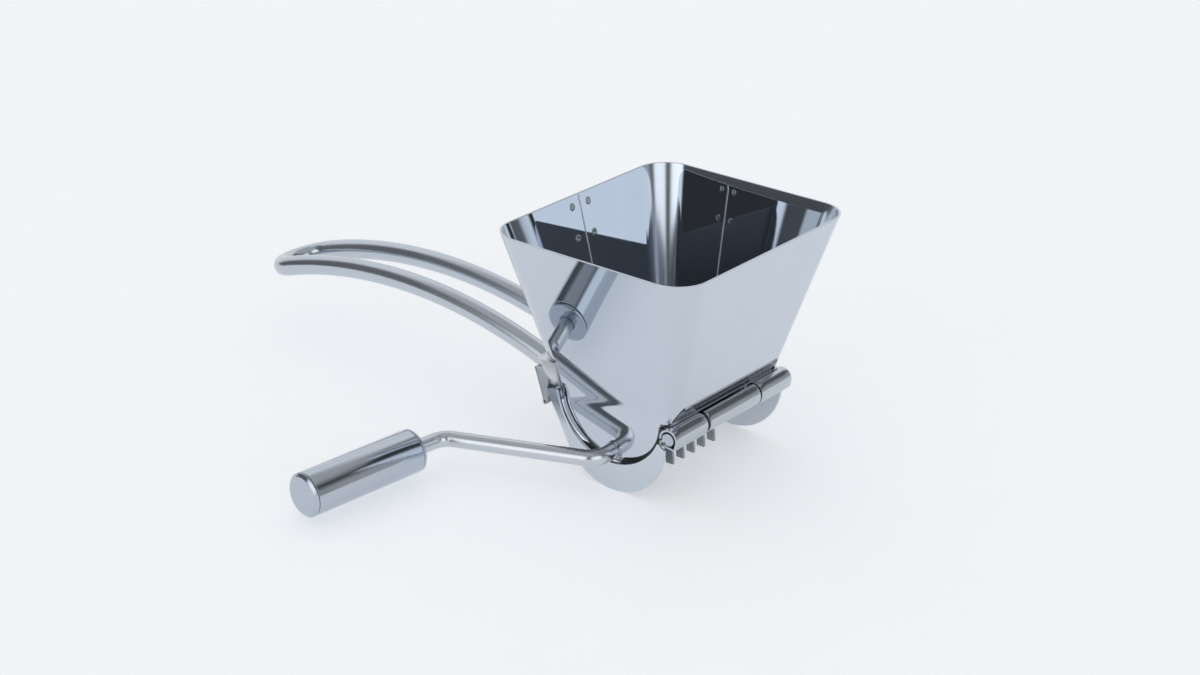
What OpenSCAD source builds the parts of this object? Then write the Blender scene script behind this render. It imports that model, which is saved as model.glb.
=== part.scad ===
// Hand-cranked herb mill: hopper on a hinged cradle, bladed rotor, rod handle and turning grip.
// Millimetres, +Z up. Rotor shaft runs along X, crank side is -X, the handle points to +Y.

/* [Hopper] */
// Outer width of the mouth along X
mouth_w = 100; // [80:1:130]
// Outer depth of the mouth along Y
mouth_d = 88.5; // [70:0.5:110]
// Outer width of the throat along X
throat_w = 66; // [56:1:80]
// Outer depth of the throat along Y
throat_d = 55.4; // [48:0.2:66]
// Height of the flared walls
hopper_h = 60.1; // [45:0.1:80]
// Thickness of the sheet
sheet = 0.9; // [0.7:0.1:1.2]
// Corner radius at the mouth
mouth_r = 12.6; // [8:0.2:18]
// Corner radius at the throat
throat_r = 6.5; // [5:0.1:9]

/* [Rotor] */
// Diameter of the crank rod and shaft
rod_d = 6; // [5:0.5:7]
// Sweep radius of the blade tips
blade_r = 23.4; // [21:0.1:24]
// Distance from blade to blade
blade_pitch = 6; // [5:0.5:7]
// Thickness of a blade
blade_t = 1; // [0.8:0.1:1.4]
// Width of the hooked rim of a blade
hook_w = 3.2; // [2:0.1:5]

/* [Crank] */
// Distance of the first bend from the middle
bend_x = 42.45; // [40:0.05:48]
// Reach of the second bend from the shaft axis
reach = 57.7; // [45:0.1:70]
// Outward lean of the crank arm in degrees
arm_lean = 17.6; // [14:0.1:24]
// Outward lean of the grip in degrees
grip_lean = 6; // [0:0.5:9]
// Slope of the crank below the level in degrees
crank_dip = 2.5; // [0:0.5:20]
// Bend radius of the crank rod
bend_r = 7; // [6:0.5:9]

/* [Grip] */
// Diameter of the grip
grip_d = 16.5; // [14:0.5:22]
// Length of the grip over its caps
grip_l = 50.6; // [40:0.2:60]
// Thickness of the end caps
cap_t = 1.4; // [1:0.1:3]

/* [Handle] */
// Diameter of the handle rod
handle_d = 8; // [6:0.5:9]
// Distance between the two runs of the handle rod
handle_gap = 22.2; // [16:0.2:28]
// Radius of the long curve of the handle
handle_r = 214.5; // [180:0.5:260]
// Y where the straight runs end and the hairpin begins
handle_y = 188; // [160:1:210]

/* [Cradle] */
// Radius of the cheek outline
cheek_r = 23.6; // [22:0.1:26]
// Radius of the hollow upper edge of a cheek
hollow_r = 24.1; // [23:0.1:25]
// Diameter of the hinge rod
pin_d = 5; // [4:0.5:5.5]
// Outer diameter of the hinge knuckles
knuckle_d = 8; // [7.4:0.2:9]

/* [Hidden] */
$fn = 48;
e = 0.01;
throat_z = 18;
rim_z = throat_z + hopper_h;
mouth_y = 0.5;
throat_y = 1.6;
wall_x = throat_w / 2;
tongue_y = throat_y;
tongue_z = 17;
tongue_r = 22.5;
tongue_flat = 0.84;
pin_y = -25.7;
pin_z = 12.56;
pin_half = 34.6;
mid_half = 15;
cheek_in = 34.6;
cheek_out = 35.6;
cheek_y = -1.43;
cheek_z = 9.31;
hollow_y = 0.2;
hollow_z = 20.4;
run = 0.05;
// crank geometry in its own plane, a outward along -X, b away from the shaft axis
turn1 = 90 - arm_lean;
turn2 = turn1 - grip_lean;
tan1 = bend_r * tan(turn1 / 2);
tan2 = bend_r * tan(turn2 / 2);
arm_l = reach / sin(turn1) - tan1 - tan2;
c1a = bend_x - tan1;
c1b = bend_r;
e1a = c1a + bend_r * sin(turn1);
e1b = c1b - bend_r * cos(turn1);
e2a = e1a + arm_l * cos(turn1);
e2b = e1b + arm_l * sin(turn1);
c2a = e2a + bend_r * sin(turn1);
c2b = e2b - bend_r * cos(turn1);
e3a = c2a - bend_r * sin(grip_lean);
e3b = c2b + bend_r * cos(grip_lean);
neck = 9.4;
ga = e3a + neck * cos(grip_lean);
gb = e3b + neck * sin(grip_lean);
spindle_l = neck + grip_l - cap_t - 3.4;
// long curve of the handle
arc_y = 121.1;
arc_z = -188.3;
front_y = 52;
back_a = asin((arc_y - front_y) / handle_r);
tip_a = asin((handle_y - arc_y) / handle_r);
front_z = arc_z + handle_r * cos(back_a);
tip_z = arc_z + handle_r * cos(tip_a);
ease_r = 40;
// middle of the overall box and its lowest point in the shaft frame
lo_x = -(ga + grip_l * cos(grip_lean) + grip_d / 2 * sin(grip_lean));
hi_x = mouth_w / 2;
lo_y = mouth_y - mouth_d / 2;
hi_y = handle_y + (handle_gap / 2 + handle_d / 2) * cos(tip_a);
lo_z = cheek_z - cheek_r;
steel = [0.75, 0.77, 0.8];
dark = [0.36, 0.37, 0.39];
satin = [0.68, 0.69, 0.71];

module place() { translate([-(lo_x + hi_x) / 2, -(lo_y + hi_y) / 2, -lo_z]) children(); }
// draws a (Y, Z) outline as a plate between two X values
module plate_x(x0, x1) { translate([x0, 0, 0]) rotate([90, 0, 90]) linear_extrude(height = x1 - x0) children(); }
// cylinder along X at a (Y, Z) point
module rod_x(x0, x1, y, z, r) { translate([x0, y, z]) rotate([0, 90, 0]) cylinder(h = x1 - x0, r = r); }
module tube_x(x0, x1, y, z, ro, ri) {
    difference() {
        rod_x(x0, x1, y, z, ro);
        rod_x(x0 - 1, x1 + 1, y, z, ri);
    }
}
// solid funnel, grown by g and run past its ends by u
module funnel(g, u) {
    k = u / hopper_h;
    bw = throat_w - (mouth_w - throat_w) * k + 2 * g;
    bd = throat_d - (mouth_d - throat_d) * k + 2 * g;
    by = throat_y - (mouth_y - throat_y) * k;
    br = throat_r - (mouth_r - throat_r) * k + g;
    tw = mouth_w + (mouth_w - throat_w) * k + 2 * g;
    td = mouth_d + (mouth_d - throat_d) * k + 2 * g;
    ty = mouth_y + (mouth_y - throat_y) * k;
    tr = mouth_r + (mouth_r - throat_r) * k + g;
    hull() {
        for (sx = [-1, 1], sy = [-1, 1]) {
            translate([sx * (bw / 2 - br), by + sy * (bd / 2 - br), throat_z - u]) cylinder(h = e, r = br, $fn = 32);
            translate([sx * (tw / 2 - tr), ty + sy * (td / 2 - tr), rim_z + u - e]) cylinder(h = e, r = tr, $fn = 32);
        }
    }
}

// the same flare with tight corners, grown by g, for the strap round the rear
module squared(g) {
    hull()
        for (sx = [-1, 1], sy = [-1, 1]) {
            translate([sx * (throat_w / 2 + g - 2), throat_y + sy * (throat_d / 2 + g - 2), throat_z]) cylinder(h = e, r = 2, $fn = 32);
            translate([sx * (mouth_w / 2 + g - 2), mouth_y + sy * (mouth_d / 2 + g - 2), rim_z - e]) cylinder(h = e, r = 2, $fn = 32);
        }
}

module hopper_shell() {
    color(steel) place() {
        difference() {
            funnel(0, 0);
            funnel(-sheet, 1.5);
        }
        // side walls run on down as round tongues with an open notch for the shaft bush
        for (s = [-1, 1])
            plate_x(s > 0 ? wall_x - sheet : -wall_x, s > 0 ? wall_x : -wall_x + sheet)
                difference() {
                    intersection() {
                        translate([tongue_y, tongue_z]) scale([1, tongue_flat]) circle(r = tongue_r, $fn = 96);
                        translate([-20.95, -10]) square([60, throat_z + 10.4]);
                    }
                    circle(r = 3.5, $fn = 48);
                    translate([-3.5, -8]) square([7, 8]);
                }
    }
}

module weld_seam() {
    color(satin) place() difference() {
        intersection() {
            funnel(-sheet - 0.02, 1);
            translate([-0.7, 20, throat_z + 5]) cube([1.4, 30, hopper_h - 5.5]);
        }
        funnel(-sheet - 0.3, 2);
    }
}

module spot_welds() {
    slope = atan(((mouth_y + mouth_d / 2) - (throat_y + throat_d / 2)) / hopper_h);
    color(satin) place()
        for (x = [-4.5, 4.5], z = [62.5, 74])
            translate([x, throat_y + throat_d / 2 + tan(slope) * (z - throat_z) - sheet / cos(slope) - 0.02, z])
                rotate([90 - slope, 0, 0]) cylinder(h = 0.35, r1 = 1.5, r2 = 1.1);
}

module hinge_tab() {
    color(steel) place() {
        difference() {
            union() {
                rod_x(-mid_half, mid_half, pin_y, pin_z, knuckle_d / 2 + 0.2);
                plate_x(-mid_half, mid_half)
                    polygon([[pin_y - 1.3, pin_z + 3], [pin_y + 0.6, pin_z + 3], [pin_y + 0.6, throat_z - 0.02],
                             [-26.1, throat_z - 0.02], [-27.3, throat_z + 3.6], [-28.2, throat_z + 3.6]]);
            }
            rod_x(-mid_half - 1, mid_half + 1, pin_y, pin_z, pin_d / 2 + e);
            funnel(0.02, 3);
        }
    }
}

module hinge_rod() {
    color(satin) place() rod_x(-pin_half, pin_half, pin_y, pin_z, pin_d / 2);
}

module rear_bracket() {
    color(satin) place() intersection() {
        difference() {
            squared(1);
            funnel(0.02, 1);
        }
        translate([-45, 24.5, throat_z + 0.1]) cube([90, 20, 10.4]);
    }
}

module handle_plate() {
    color(satin) place() difference() {
        union() {
            plate_x(-35, 35)
                polygon([[30.4, 11], [31.4, 11], [35.65, 23.6], [34.65, 23.6]]);
            // rolled lower lip that the closed cradle snaps behind
            rod_x(-35, 35, 30.6, 10.6, 1);
            for (s = [-1, 1])
                plate_x(s > 0 ? 34 : -35, s > 0 ? 35 : -34)
                    polygon([[31.25, 11.2], [35.5, 23.6], [31.2, 23.6], [30.3, 18.4], [29.3, 16.5], [29.3, 11.2]]);
        }
        squared(1.02);
        rod_x(-36, 36, 30.6, 10.6, 0.45);
    }
}

module handle_loop() {
    rr = handle_d / 2;
    color(satin) place() {
        for (s = [-1, 1]) translate([s * handle_gap / 2, 0, 0]) {
            // long curve
            translate([0, arc_y, arc_z]) rotate([90, 0, 90])
                rotate([0, 0, 89.9 - tip_a]) arc_seg(handle_r, back_a + tip_a + 0.2, rr);
            // easing bend and straight end into the rear plate
            translate([0, front_y - ease_r * sin(back_a), front_z + ease_r * cos(back_a)])
                rotate([90, 0, 90]) rotate([0, 0, -90.6]) arc_seg(ease_r, back_a + 1.2, rr - 0.06);
            translate([0, 31.9, front_z - ease_r * (1 - cos(back_a))]) rotate([-90, 0, 0])
                cylinder(h = front_y - ease_r * sin(back_a) - 31.9 + 0.4, r = rr);
        }
        translate([0, handle_y, tip_z]) rotate([-tip_a, 0, 0]) rotate([0, 0, -1.4])
            rotate_extrude(angle = 182.8, $fn = 96) translate([handle_gap / 2, 0]) circle(r = rr - 0.06, $fn = 48);
    }
}
// arc in the XY plane from angle 0 to a
module arc_seg(r, a, rr) {
    rotate_extrude(angle = a, $fn = 180) translate([r, 0]) circle(r = rr, $fn = 48);
}

module comb_teeth(y0, z0, y1, z1) {
    d = norm([y1 - y0, z1 - z0]);
    for (i = [-4 : 4])
        translate([i == 0 ? -2.6 : (i > 0 ? i * blade_pitch + 1 - 1.8 : i * blade_pitch - 1 - 1.8), y0, z0])
            rotate([atan2(z1 - z0, y1 - y0), 0, 0]) translate([0, 0, -0.5]) cube([i == 0 ? 5.2 : 3.6, d, 1]);
    for (s = [-1, 1])
        translate([s > 0 ? 29.4 : -31.6, y0, z0])
            rotate([atan2(z1 - z0, y1 - y0), 0, 0]) translate([0, 0, -0.5]) cube([2.2, d, 1]);
}

module front_comb() {
    color(satin) place() difference() {
        union() {
            plate_x(-31.6, 31.6) polygon([[-25.15, 16.6], [-24.15, 16.6], [-24.15, 22.5], [-26.4, 22.5]]);
            comb_teeth(-24.2, 17.6, -9.6, 7);
        }
        difference() {
            funnel(8, 1);
            funnel(-sheet - 0.02, 3);
        }
        rod_x(-34, 34, 0, 0, 9.2);
    }
}

module rear_comb() {
    color(satin) place() difference() {
        union() {
            plate_x(-31.6, 31.6) polygon([[27.2, 18.2], [28.4, 18.2], [29.6, 22.5], [27.2, 22.5]]);
            comb_teeth(27.6, 18.7, 9.6, 5.4);
        }
        difference() {
            funnel(8, 1);
            funnel(-sheet - 0.02, 3);
        }
        rod_x(-34, 34, 0, 0, 9.2);
    }
}

module crank_side_bush() { color(satin) place() tube_x(-33.7, -31, 0, 0, 3.48, rod_d / 2 + run); }
module far_side_bush() { color(satin) place() tube_x(31, 33.7, 0, 0, 3.48, rod_d / 2 + run); }

module cheek_outline() {
    difference() {
        union() {
            translate([cheek_y, cheek_z]) circle(r = cheek_r, $fn = 128);
            polygon([[14, 6], [20.6, 0.4], [24.3, 7.6], [26.6, 11.4], [28.6, 15.2], [28, 17], [26.6, 17.6], [24.4, 17.6], [19, 10]]);
        }
        translate([hollow_y, hollow_z]) circle(r = hollow_r, $fn = 128);
        translate([pin_y, pin_z]) circle(r = 3.1, $fn = 48);
        translate([-40, 11.2]) square([40, 30]);
        translate([0, 17.6]) square([40, 30]);
    }
}
module cheek(s) {
    plate_x(s > 0 ? cheek_in : -cheek_out, s > 0 ? cheek_out : -cheek_in) cheek_outline();
    // inward flange along the hollow edge
    plate_x(s > 0 ? 33.5 : -cheek_in, s > 0 ? cheek_in : -33.5)
        intersection() {
            cheek_outline();
            difference() {
                translate([hollow_y, hollow_z]) circle(r = hollow_r + 0.9, $fn = 128);
                translate([-40, 6]) square([26, 30]);
            }
        }
}
module crank_side_cheek() { color(steel) place() cheek(-1); }
module far_side_cheek() { color(steel) place() cheek(1); }

module cradle_back_wall() {
    color(steel) place() plate_x(-cheek_in + 0.02, cheek_in - 0.02)
        polygon([[25.5, 11.4], [26.5, 11.4], [28.6, 15.2], [28.2, 16.6], [27.3, 17.3], [26.7, 16.5], [27.3, 15.9], [27.6, 15.2]]);
}

module crank_side_knuckle() { color(steel) place() tube_x(-pin_half, -mid_half - 0.3, pin_y, pin_z, knuckle_d / 2, pin_d / 2 + run); }
module far_side_knuckle() { color(steel) place() tube_x(mid_half + 0.3, pin_half, pin_y, pin_z, knuckle_d / 2, pin_d / 2 + run); }

// lays the crank plane out, a to -X and b to +Y
module crank_plane() { place() rotate([-crank_dip, 0, 0]) rotate([0, 180, 0]) children(); }
module grip_axis() { crank_plane() translate([ga, gb, 0]) rotate([0, 0, grip_lean]) rotate([0, 90, 0]) children(); }

module crank_rod() {
    rr = rod_d / 2;
    color(satin) difference() {
        union() {
            crank_plane() {
                translate([-37.6, 0, 0]) rotate([0, 90, 0]) cylinder(h = 37.6 + c1a + 0.3, r = rr);
                translate([c1a, c1b, 0]) rotate([0, 0, -93]) arc_seg(bend_r, turn1 + 6, rr - 0.02);
                translate([e1a, e1b, 0]) rotate([0, 0, turn1]) rotate([0, 90, 0]) translate([0, 0, -0.3]) cylinder(h = arm_l + 0.6, r = rr);
                translate([c2a, c2b, 0]) rotate([0, 0, 87 + grip_lean]) arc_seg(bend_r, turn2 + 6, rr - 0.02);
            }
            grip_axis() translate([0, 0, -neck - 0.3]) cylinder(h = spindle_l + 0.3, r = rr);
        }
        // hole for the cross pin
        place() translate([30, 0, -8]) cylinder(h = 16, r = 0.55);
    }
}
module rotor_core() {
    color(satin) place() difference() {
        tube_x(-30.7, 30.7, 0, 0, 4.5, rod_d / 2 + e);
        translate([30, 0, -8]) rotate([0, 0, 0]) cylinder(h = 16, r = 0.55);
    }
}
module blade_shape() {
    difference() {
        union() {
            circle(r = 7, $fn = 64);
            // curved arm and hooked rim
            difference() {
                circle(r = blade_r, $fn = 128);
                circle(r = blade_r - hook_w, $fn = 128);
                rotate([0, 0, 180]) translate([-30, 0]) square([60, 40]);
                rotate([0, 0, -32]) translate([-30, 0.01]) square([80, 40]);
                translate([-4, -30]) square([60, 80]);
            }
            rotate([0, 0, -30]) translate([-blade_r + 1, -2]) square([blade_r - 1, 5]);
            rotate([0, 0, -30]) translate([-10, -4]) square([10, 8]);
        }
        // chamfered inner corner at the hook tip
        translate([-(blade_r - hook_w), -0.01]) rotate([0, 0, 35]) translate([-0.9, -1.6]) square([3, 1.6]);
        circle(r = 4.51, $fn = 64);
    }
}
module blades(list, turn) {
    color(dark) place() for (x = list) plate_x(x - blade_t / 2, x + blade_t / 2) rotate([0, 0, turn]) blade_shape();
}
module front_blades() { blades([for (i = [0 : 4]) -4 - i * blade_pitch], 0); }
module rear_blades() { blades([for (i = [0 : 4]) 4 + i * blade_pitch], 180); }
module blade_spacers() {
    g = blade_t / 2 + 0.02;
    color(satin) place() {
        tube_x(-4 + g, 4 - g, 0, 0, 6.5, 4.51);
        for (s = [-1, 1], i = [0 : 3]) {
            x = s * (4 + i * blade_pitch);
            tube_x(min(x, x + s * blade_pitch) + g, max(x, x + s * blade_pitch) - g, 0, 0, 6.5, 4.51);
        }
    }
}
module cross_pin() { color(satin) place() translate([30, 0, -5.2]) cylinder(h = 10.4, r = 0.54); }
module shaft_ring() { color(satin) place() tube_x(36, 37, 0, 0, 4.6, rod_d / 2 + e); }

module spindle_collar() {
    color(satin) grip_axis() difference() {
        translate([0, 0, cap_t + 3.4]) cylinder(h = 3, r = 5);
        cylinder(h = 20, r = rod_d / 2 + e);
    }
}
module grip_tube() {
    color(satin) grip_axis() difference() {
        translate([0, 0, cap_t + 0.02]) cylinder(h = grip_l - 2 * cap_t - 0.04, r = grip_d / 2, $fn = 64);
        translate([0, 0, -1]) cylinder(h = grip_l + 2, r = grip_d / 2 - 1, $fn = 64);
    }
}
module grip_inner_cap() {
    color(satin) grip_axis() difference() {
        union() {
            cylinder(h = cap_t, r = grip_d / 2 - 0.1, $fn = 64);
            cylinder(h = cap_t + 3, r = grip_d / 2 - 1.02, $fn = 64);
        }
        translate([0, 0, -1]) cylinder(h = 10, r = rod_d / 2 + run);
    }
}
module grip_outer_cap() {
    color(satin) grip_axis() translate([0, 0, grip_l]) rotate([180, 0, 0]) union() {
        cylinder(h = cap_t, r = grip_d / 2 - 0.1, $fn = 64);
        cylinder(h = cap_t + 3, r = grip_d / 2 - 1.02, $fn = 64);
    }
}

hopper_shell();
weld_seam();
spot_welds();
hinge_tab();
hinge_rod();
rear_bracket();
handle_plate();
handle_loop();
front_comb();
rear_comb();
crank_side_bush();
far_side_bush();
crank_side_cheek();
far_side_cheek();
cradle_back_wall();
crank_side_knuckle();
far_side_knuckle();
crank_rod();
rotor_core();
front_blades();
rear_blades();
blade_spacers();
cross_pin();
shaft_ring();
spindle_collar();
grip_tube();
grip_inner_cap();
grip_outer_cap();
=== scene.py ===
import bpy
import bmesh
import math
import numpy as np
from mathutils import Vector, Matrix


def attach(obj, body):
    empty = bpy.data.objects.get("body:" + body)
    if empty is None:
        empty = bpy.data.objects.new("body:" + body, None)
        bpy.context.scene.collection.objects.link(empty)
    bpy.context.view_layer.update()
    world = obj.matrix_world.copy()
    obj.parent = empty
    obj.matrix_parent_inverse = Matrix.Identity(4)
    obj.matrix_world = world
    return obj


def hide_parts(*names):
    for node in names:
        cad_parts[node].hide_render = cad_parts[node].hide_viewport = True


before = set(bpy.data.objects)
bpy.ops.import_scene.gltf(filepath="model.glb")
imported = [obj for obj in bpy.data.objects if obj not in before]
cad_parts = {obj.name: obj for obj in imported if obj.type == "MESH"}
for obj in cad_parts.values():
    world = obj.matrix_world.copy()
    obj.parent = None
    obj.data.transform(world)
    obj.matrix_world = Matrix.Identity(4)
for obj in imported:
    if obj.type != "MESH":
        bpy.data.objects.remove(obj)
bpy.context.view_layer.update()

# ---------------------------------------------------------------- frame: millimetres about the shaft axis
C = np.array([-37.92138, 79.2984, -14.29])


def W(p):
    return (np.asarray(p, float) - C) / 1000.0


def unit(v):
    v = np.asarray(v, float)
    return v / np.linalg.norm(v)


# ---------------------------------------------------------------- mesh helpers
def outward(me):
    """Turns every face to the outside; corners split for crisp edges are merged in a copy that decides."""
    bm = bmesh.new()
    bm.from_mesh(me)
    src = bm.faces.layers.int.new("src")
    bm.faces.ensure_lookup_table()
    for f in bm.faces:
        f[src] = f.index
    bmesh.ops.remove_doubles(bm, verts=bm.verts[:], dist=2e-6)
    bmesh.ops.recalc_face_normals(bm, faces=bm.faces[:])
    bm.normal_update()
    turn = sorted({f[src] for f in bm.faces if f.normal.dot(me.polygons[f[src]].normal) < 0})
    bm.free()
    bm = bmesh.new()
    bm.from_mesh(me)
    bm.faces.ensure_lookup_table()
    bmesh.ops.reverse_faces(bm, faces=[bm.faces[i] for i in turn])
    bm.to_mesh(me)
    bm.free()
    me.update()


def make(name, verts, faces, mat, body, angle=32.0, normals=None, replaces=()):
    """verts in shaft-frame millimetres."""
    me = bpy.data.meshes.new(name)
    me.from_pydata([tuple(W(v)) for v in verts], [], [tuple(f) for f in faces])
    me.validate()
    me.update()
    if normals is None:
        outward(me)
    me.shade_smooth()
    if angle is not None:
        me.set_sharp_from_angle(angle=math.radians(angle))
    ob = bpy.data.objects.new(name, me)
    bpy.context.scene.collection.objects.link(ob)
    me.materials.append(mat)
    if normals is not None:
        me.normals_split_custom_set_from_vertices([tuple(n) for n in normals])
    if body:
        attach(ob, body)
    if replaces:
        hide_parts(*replaces)
    return ob


class Mesh:
    """Collects verts and faces of one piece."""

    def __init__(self):
        self.v = []
        self.f = []

    def add(self, verts, faces):
        n = len(self.v)
        self.v += [tuple(x) for x in verts]
        self.f += [tuple(i + n for i in f) for f in faces]

    def grid(self, g, close_u=False, close_v=False, flip=False):
        """g[i][j] points."""
        nu, nv = len(g), len(g[0])
        verts = [p for row in g for p in row]
        faces = []
        for i in range(nu if close_u else nu - 1):
            for j in range(nv if close_v else nv - 1):
                a = i * nv + j
                b = ((i + 1) % nu) * nv + j
                c = ((i + 1) % nu) * nv + (j + 1) % nv
                d = i * nv + (j + 1) % nv
                faces.append((a, d, c, b) if flip else (a, b, c, d))
        self.add(verts, faces)

    def fan(self, ring, centre, flip=False):
        n = len(ring)
        verts = list(ring) + [centre]
        self.add(verts, [((i + 1) % n, i, n) if flip else (i, (i + 1) % n, n) for i in range(n)])


def frame_of(d):
    d = unit(d)
    a = np.array([1.0, 0, 0]) if abs(d[0]) < 0.9 else np.array([0, 1.0, 0])
    u = unit(np.cross(d, a))
    return d, u, np.cross(d, u)


def lathe(m, profile, origin, direction, segs=96, close=False, roll=0.0):
    """profile: list of (distance along axis, radius)."""
    d, u, v = frame_of(direction)
    o = np.asarray(origin, float)
    g = []
    for z, r in profile:
        g.append([o + d * z + (u * math.cos(t) + v * math.sin(t)) * r
                  for t in np.linspace(0, 2 * math.pi, segs, endpoint=False) + roll])
    if close:
        g.append(g[0])
    m.grid(g, close_v=True)


def bevel_profile(pts, r, n=4):
    """Rounds the inner corners of a polyline of (z, r) points."""
    out = [pts[0]]
    for i in range(1, len(pts) - 1):
        a, b, c = (np.array(pts[k], float) for k in (i - 1, i, i + 1))
        d1, d2 = unit(a - b), unit(c - b)
        k = min(r, np.linalg.norm(a - b) * 0.45, np.linalg.norm(c - b) * 0.45)
        if k < 1e-4:
            out.append(tuple(b))
            continue
        p, q = b + d1 * k, b + d2 * k
        for j in range(n + 1):
            t = j / n
            out.append(tuple((1 - t) ** 2 * p + 2 * t * (1 - t) * b + t * t * q))
    out.append(pts[-1])
    return out


def arc3(centre, e1, e2, r, a0, a1, n):
    """points centre + r (cos a e1 + sin a e2)"""
    return [np.asarray(centre) + r * (math.cos(a) * np.asarray(e1) + math.sin(a) * np.asarray(e2))
            for a in np.linspace(a0, a1, n)]


def sweep(m, path, r, segs=48, cap0=None, cap1=None, chamfer=0.5):
    """Round rod along a path of points; caps: None, 'flat' (chamfered) or 'ball'."""
    P = [np.asarray(p, float) for p in path]
    keep = [P[0]]
    for p in P[1:]:
        if np.linalg.norm(p - keep[-1]) > 1e-5:
            keep.append(p)
    P = keep
    n = len(P)
    T = []
    for i in range(n):
        if i == 0:
            t = P[1] - P[0]
        elif i == n - 1:
            t = P[-1] - P[-2]
        else:
            t = unit(P[i + 1] - P[i]) + unit(P[i] - P[i - 1])
        T.append(unit(t))
    d, u, v = frame_of(T[0])
    rings = []
    for i in range(n):
        if i:
            u = unit(u - T[i] * np.dot(u, T[i]))
        v = np.cross(T[i], u)
        rings.append((P[i], T[i], u.copy(), v.copy()))

    def ring(c, uu, vv, rad):
        return [c + rad * (math.cos(a) * uu + math.sin(a) * vv) for a in np.linspace(0, 2 * math.pi, segs, endpoint=False)]

    g = []
    p0, t0, u0, v0 = rings[0]
    if cap0 == "flat":
        for k in range(5):
            a = math.pi / 2 * k / 4
            g.append(ring(p0 + t0 * chamfer * (1 - math.sin(a)), u0, v0, r - chamfer * (1 - math.cos(math.pi / 2 - a))))
    elif cap0 == "ball":
        for k in range(1, 10):
            a = math.pi / 2 * k / 10
            g.append(ring(p0 + t0 * r * (1 - math.sin(a)), u0, v0, r * math.cos(math.pi / 2 - a)))
    start = len(g)
    for i, (c, t, uu, vv) in enumerate(rings):
        if cap0 and i == 0:
            if cap0 == "flat":
                g.append(ring(c + t * chamfer * 1.001, uu, vv, r))
            else:
                g.append(ring(c + t * r, uu, vv, r))
            continue
        if cap1 and i == n - 1:
            if cap1 == "flat":
                g.append(ring(c - t * chamfer * 1.001, uu, vv, r))
            else:
                g.append(ring(c - t * r, uu, vv, r))
            continue
        g.append(ring(c, uu, vv, r))
    p1, t1, u1, v1 = rings[-1]
    if cap1 == "flat":
        for k in range(5):
            a = math.pi / 2 * k / 4
            g.append(ring(p1 - t1 * chamfer * (1 - math.sin(a)), u1, v1, r - chamfer * (1 - math.cos(a))))
    elif cap1 == "ball":
        for k in range(1, 10):
            a = math.pi / 2 * k / 10
            g.append(ring(p1 - t1 * r * (1 - math.sin(a)), u1, v1, r * math.cos(a)))
    m.grid(g, close_v=True)
    if cap0:
        m.fan(g[0], sum(g[0]) / len(g[0]), flip=True)
    if cap1:
        m.fan(g[-1], sum(g[-1]) / len(g[-1]))


def plate_x(m, outline, x0, x1, edge=0.12):
    """A flat plate between two X values; outline is a closed (y, z) loop, anticlockwise seen from +X, simple and dense."""
    o = [np.array(p, float) for p in outline]
    n = len(o)
    nrm = []
    for i in range(n):
        t = unit(o[(i + 1) % n] - o[i - 1])
        nrm.append(np.array([t[1], -t[0]]))

    def ring(x, inset):
        return [(x, *(o[i] - nrm[i] * inset)) for i in range(n)]
    g = [ring(x0, edge), ring(x0 + edge * 0.3, edge * 0.3), ring(x0 + edge, 0), ring(x1 - edge, 0), ring(x1 - edge * 0.3, edge * 0.3), ring(x1, edge)]
    m.grid(g, close_v=True)
    b = len(m.v)
    m.v += [tuple(p) for p in g[0]]
    m.f.append(tuple(range(b + n - 1, b - 1, -1)))
    b = len(m.v)
    m.v += [tuple(p) for p in g[-1]]
    m.f.append(tuple(range(b, b + n)))


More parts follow.
